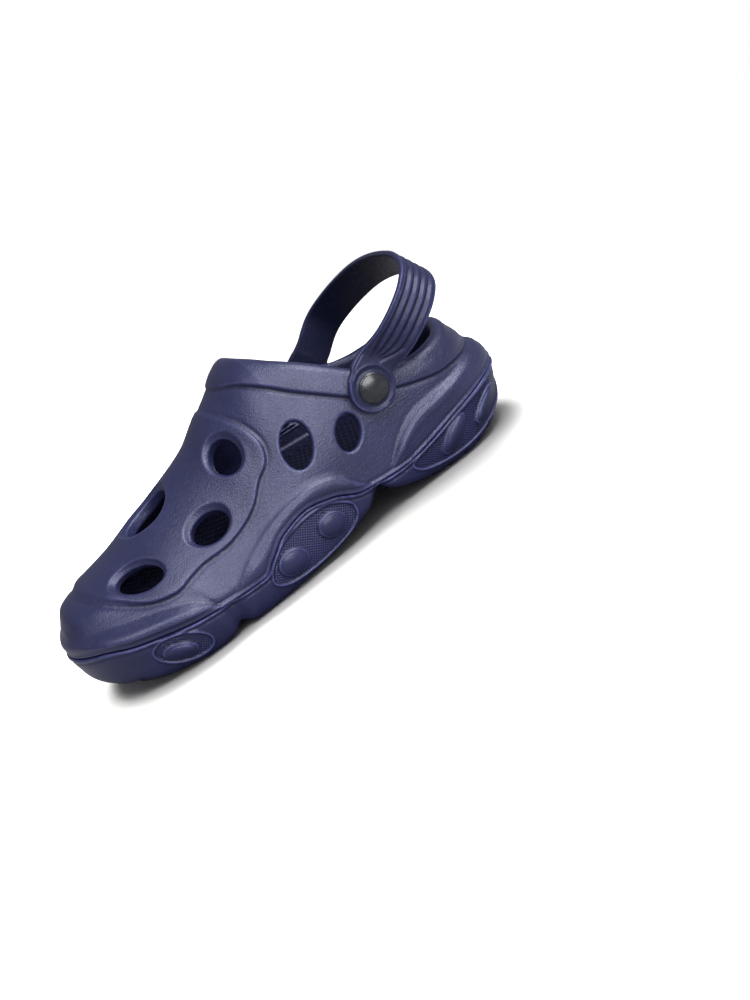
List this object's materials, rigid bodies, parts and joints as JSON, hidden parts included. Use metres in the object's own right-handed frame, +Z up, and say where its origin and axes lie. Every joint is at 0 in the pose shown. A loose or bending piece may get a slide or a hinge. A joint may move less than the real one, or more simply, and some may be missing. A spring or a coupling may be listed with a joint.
{
  "type": "garden clog",
  "caption": "Moulded foam garden clog for the right foot, with oval vents, a rocker sole and a heel strap that swings on side rivets.",
  "frame": {"origin": "on the ground, midway between toe and heel and near the middle of the width", "axes": "+Z up, toe towards -Y, heel towards +Y, +X towards the medial side of the foot; the rivet axis is parallel to X"},
  "size_m": [0.1263, 0.2911, 0.1191],
  "materials": {
    "upper_foam": "satin navy foam skin with fine leather grain",
    "sole_foam": "satin navy foam with moulded texture panels",
    "footbed_foam": "matte navy foam with massage nubs",
    "strap_foam": "satin navy foam, ribbed outside and knurled inside",
    "rivet_plastic": "dark grey injection-moulded plastic, soft gloss"
  },
  "bodies": {
    "clog_body": {"upper": "upper_foam", "outsole": "sole_foam", "footbed": "footbed_foam"},
    "strap": {"heel_strap": "strap_foam"},
    "rivet_medial": {"rivet_button_medial": "rivet_plastic", "rivet_cap_medial": "rivet_plastic"},
    "rivet_lateral": {"rivet_button_lateral": "rivet_plastic", "rivet_cap_lateral": "rivet_plastic"}
  },
  "joints": [
    {"name": "strap_swing", "type": "hinge", "parent": "clog_body", "child": "strap", "pos_m": [0, 0.06, 0.067], "axis": [1, 0, 0], "range_deg": [-29, 96]},
    {"name": "rivet_medial_turn", "type": "hinge", "parent": "clog_body", "child": "rivet_medial", "pos_m": [0.048, 0.06, 0.067], "axis": [1, 0, 0], "continuous": true},
    {"name": "rivet_lateral_turn", "type": "hinge", "parent": "clog_body", "child": "rivet_lateral", "pos_m": [-0.048, 0.06, 0.067], "axis": [1, 0, 0], "continuous": true}
  ]
}
